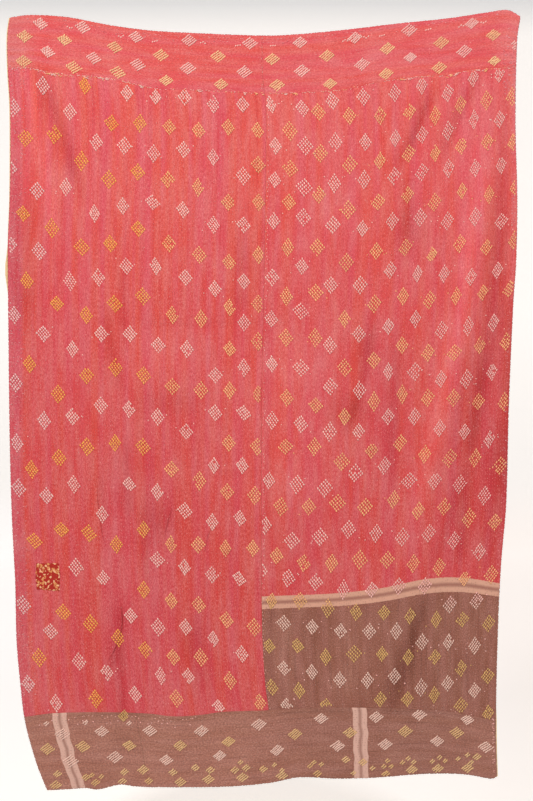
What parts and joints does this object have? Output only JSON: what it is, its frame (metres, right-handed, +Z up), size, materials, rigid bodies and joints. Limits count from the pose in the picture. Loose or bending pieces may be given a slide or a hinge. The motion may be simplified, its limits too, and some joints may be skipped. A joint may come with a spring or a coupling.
{
  "type": "kantha quilt",
  "caption": "Hanging kantha quilt of worn rose and brown cotton, pieced with bands, a centre seam and a small mend, on a yellow backing.",
  "frame": {"origin": "middle of the top edge, between the front and the backing", "axes": "+Z up along the height, the longest side; +X across the width, to the right as seen from the front; the pieced front faces -Y, so Y is the thin way through"},
  "size_m": [1.3646, 0.0294, 2.0677],
  "materials": {
    "rose_streaked_cotton": "worn woven cotton with vertical streaks, white and yellow woven diamonds and rows of running stitches",
    "rose_to_brown_cotton": "worn woven cotton, rose above a tan woven stripe and brown below it, with woven diamonds and running stitches",
    "rose_band_cotton": "the same rose cotton turned sideways, with streaks that run across",
    "brown_band_cotton": "worn brown cotton turned sideways, with tan woven stripes and woven diamonds",
    "yellow_cotton": "plain worn yellow cotton with rows of running stitches",
    "printed_cotton": null,
    "white_thread": "off-white cotton thread of woven diamonds, stitches and seams",
    "yellow_thread": "golden yellow cotton thread of woven diamonds and stitches",
    "rose_thread": "rose cotton thread of the running stitches and hem stitches",
    "brown_thread": "pinkish brown cotton thread of the running stitches on the brown cloth"
  },
  "bodies": {
    "root": {"backing": "yellow_cotton", "top_band_left": "rose_band_cotton", "top_band_right": "rose_band_cotton", "left_panel": "rose_streaked_cotton", "right_panel": "rose_to_brown_cotton", "bottom_band_left": "brown_band_cotton", "bottom_band_right": "brown_band_cotton", "patch": "printed_cotton"}
  },
  "joints": []
}
